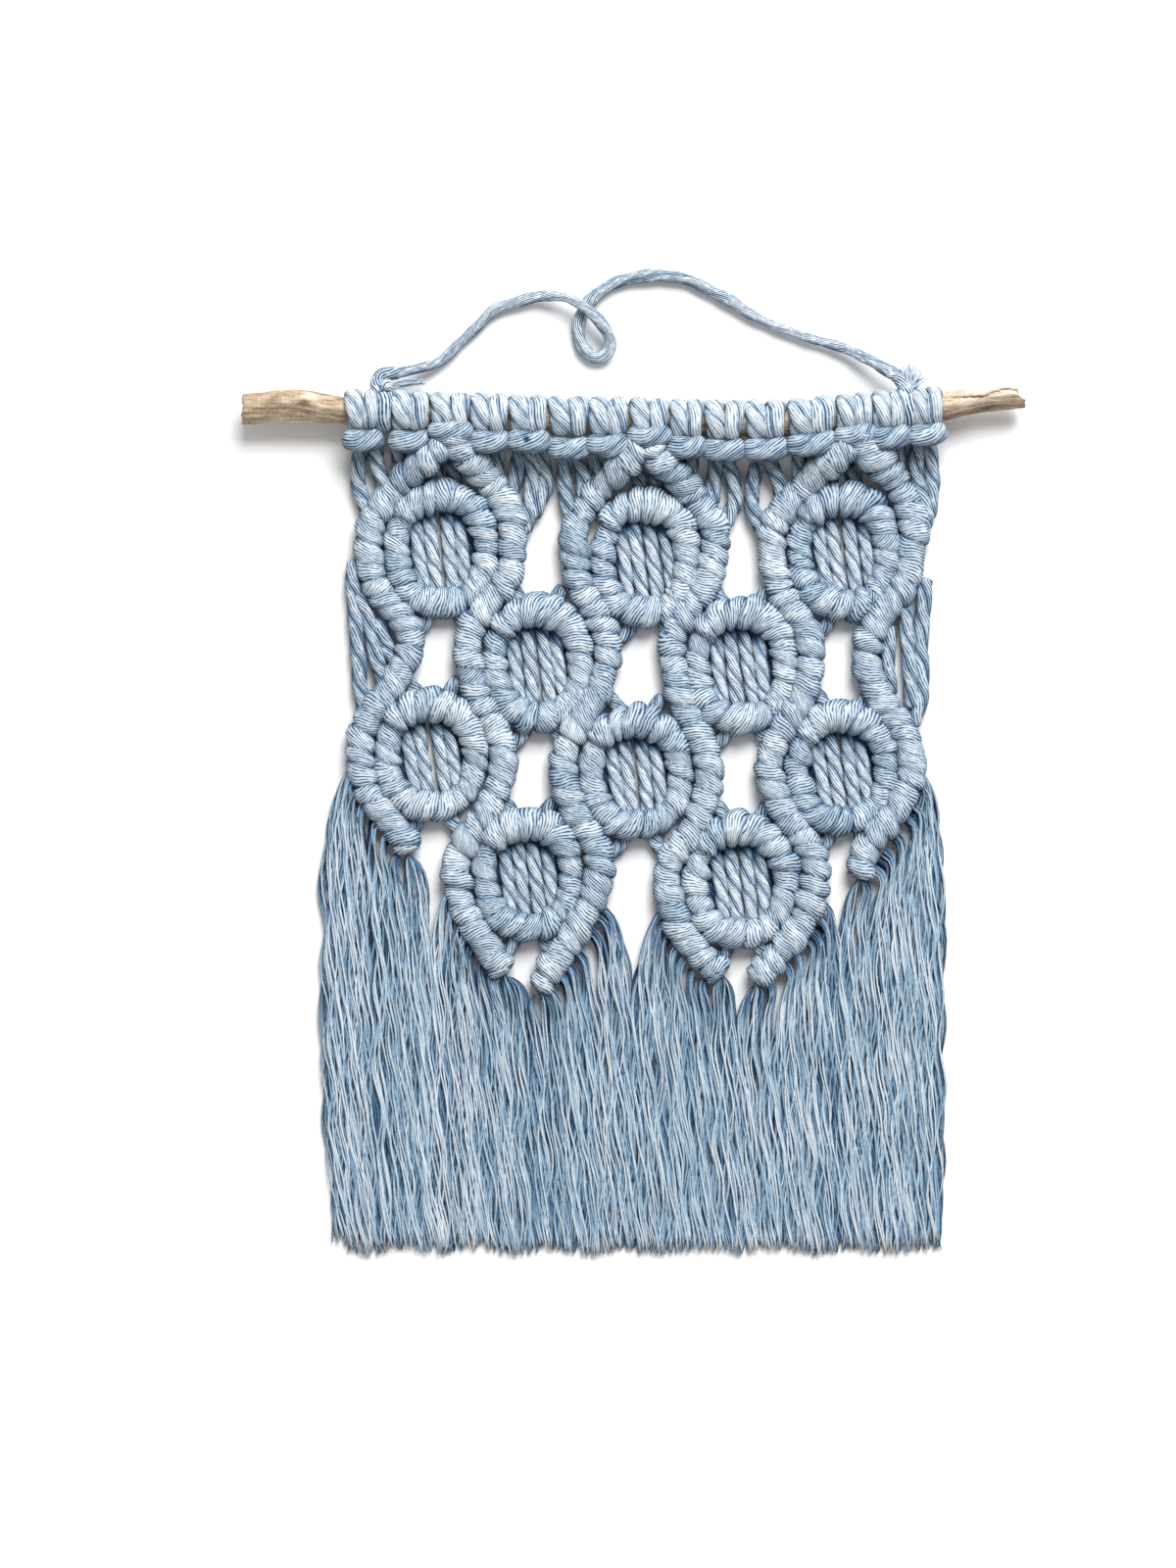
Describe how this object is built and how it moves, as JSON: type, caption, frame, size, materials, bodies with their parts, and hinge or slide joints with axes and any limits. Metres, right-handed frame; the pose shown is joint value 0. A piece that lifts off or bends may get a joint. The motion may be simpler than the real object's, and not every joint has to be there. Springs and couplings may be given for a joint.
{
  "type": "macrame wall hanging on a driftwood stick",
  "caption": "Knotted cotton wall hanging with oval rings between wavy bars and a combed fringe, on a driftwood stick with a loose hanging cord.",
  "frame": {"origin": "middle of the outline of the hanging, without its loose cord, on the surface that it lies on", "axes": "+X along the stick to the right, +Y up the hanging from the fringe to the stick, +Z out of its front face"},
  "size_m": [0.2474, 0.3102, 0.0176],
  "materials": {
    "driftwood": "dry weathered wood with fine grain, a scar near the left end and a broken right end",
    "knotted_cotton": "matt pale blue cotton cord, knotted",
    "combed_cotton": "matt pale blue cotton, combed out into fine yarns",
    "cord_cotton": "matt pale blue cotton cord of three plies"
  },
  "bodies": {
    "root": {"stick": "driftwood", "knotted_panel": "knotted_cotton", "fringe_a": "combed_cotton", "fringe_b": "combed_cotton", "fringe_c": "combed_cotton", "fringe_d": "combed_cotton", "fringe_e": "combed_cotton", "fringe_f": "combed_cotton", "hanging_cord": "cord_cotton", "tie_left": "cord_cotton", "tie_right": "cord_cotton"}
  },
  "joints": []
}
